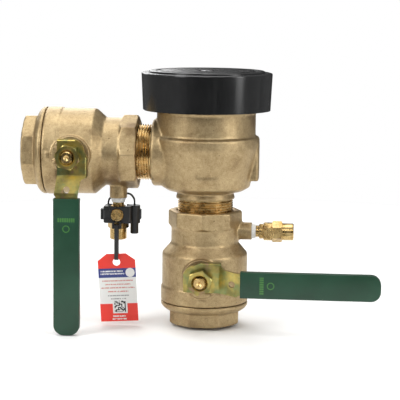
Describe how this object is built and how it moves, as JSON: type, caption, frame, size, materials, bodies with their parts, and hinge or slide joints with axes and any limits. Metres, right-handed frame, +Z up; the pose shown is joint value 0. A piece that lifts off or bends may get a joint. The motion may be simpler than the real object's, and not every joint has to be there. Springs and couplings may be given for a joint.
{
  "type": "pressure vacuum breaker",
  "caption": "Bronze pressure vacuum breaker with lever ball valves on inlet and outlet, test cocks, a black hood and a hanging tag.",
  "frame": {"origin": "centre of the inlet port's face, on the inlet axis", "axes": "+Z up along the inlet and air inlet axis; outlet leaves towards -X; valve levers face -Y, the front"},
  "size_m": [0.3077, 0.1178, 0.2218],
  "materials": {
    "cast_bronze": "rough sand-cast bronze, matte tan",
    "machined_brass": "turned brass, fine tool marks",
    "chromate_steel": "yellow chromate plated pressed steel",
    "green_vinyl": "dark green dipped vinyl",
    "black_plastic": "glossy black moulded plastic",
    "grey_plastic": "grey engineering plastic",
    "ptfe": "white PTFE",
    "rubber": "black moulded rubber",
    "black_rubber": "black sleeved lead",
    "spring_steel": "stainless steel",
    "chrome_plate": "hard chrome plated brass",
    "tie_plastic": "black nylon strap",
    "printed_card": "printed coated card"
  },
  "bodies": {
    "breaker": {"inlet_valve_body": "cast_bronze", "inlet_valve_retainer": "cast_bronze", "inlet_retainer_seal": "rubber", "inlet_ball_seats": "ptfe", "inlet_thrust_washer": "ptfe", "inlet_stem_packing": "ptfe", "inlet_gland_nut": "machined_brass", "inlet_test_cock_body": "machined_brass", "inlet_test_cock_tape": "ptfe", "outlet_valve_body": "cast_bronze", "outlet_valve_retainer": "cast_bronze", "outlet_retainer_seal": "rubber", "outlet_ball_seats": "ptfe", "outlet_thrust_washer": "ptfe", "outlet_stem_packing": "ptfe", "outlet_gland_nut": "machined_brass", "outlet_test_cock_body": "machined_brass", "outlet_test_cock_tape": "ptfe", "main_body": "cast_bronze", "check_seat": "machined_brass", "check_cage": "grey_plastic", "bonnet": "machined_brass", "bonnet_seal": "rubber", "hood": "black_plastic", "hood_screw": "spring_steel", "sensor_clip": "black_plastic", "sensor_capsule": "black_plastic", "sensor_lead": "black_rubber"},
    "inlet_shutoff": {"inlet_lever": "chromate_steel", "inlet_lever_grip": "green_vinyl", "inlet_lever_nut": "chromate_steel", "inlet_stem": "machined_brass", "inlet_ball": "chrome_plate"},
    "outlet_shutoff": {"outlet_lever": "chromate_steel", "outlet_lever_grip": "green_vinyl", "outlet_lever_nut": "chromate_steel", "outlet_stem": "machined_brass", "outlet_ball": "chrome_plate"},
    "inlet_test_plug": {"inlet_test_cock_plug": "machined_brass", "inlet_test_cock_seal": "rubber"},
    "outlet_test_plug": {"outlet_test_cock_plug": "machined_brass", "outlet_test_cock_seal": "rubber"},
    "check": {"check_poppet": "grey_plastic", "check_washer": "rubber", "check_spring": "spring_steel"},
    "float": {"air_float": "grey_plastic", "float_seal": "rubber", "float_spring": "spring_steel"},
    "hanging_tag": {"tag_tie": "tie_plastic", "tag": "printed_card"}
  },
  "joints": [
    {"name": "inlet_lever_turn", "type": "hinge", "parent": "breaker", "child": "inlet_shutoff", "pos_m": [0, 0, 0.045], "axis": [0, 1, 0], "range_deg": [0, 90]},
    {"name": "outlet_lever_turn", "type": "hinge", "parent": "breaker", "child": "outlet_shutoff", "pos_m": [-0.1122, 0, 0.1484], "axis": [0, 1, 0], "range_deg": [0, 90]},
    {"name": "inlet_test_plug_turn", "type": "hinge", "parent": "breaker", "child": "inlet_test_plug", "pos_m": [0.0549, 0, 0.081], "axis": [0, 1, 0], "range_deg": [0, 90]},
    {"name": "outlet_test_plug_turn", "type": "hinge", "parent": "breaker", "child": "outlet_test_plug", "pos_m": [-0.0762, 0, 0.0935], "axis": [0, 1, 0], "range_deg": [0, 90]},
    {"name": "check_lift", "type": "slide", "parent": "breaker", "child": "check", "axis": [0, 0, 1], "range_m": [0, 0.01], "stiffness_N_per_m": 150, "springref_m": -0.01, "deforming": ["check_spring"]},
    {"name": "float_lift", "type": "slide", "parent": "breaker", "child": "float", "axis": [0, 0, 1], "range_m": [0, 0.008], "stiffness_N_per_m": 60, "springref_m": -0.005, "deforming": ["float_spring"]},
    {"name": "tag_swing", "type": "hinge", "parent": "breaker", "child": "hanging_tag", "pos_m": [-0.0762, -0.0116, 0.0834], "axis": [1, 0, 0], "range_deg": [-60, 4]}
  ]
}
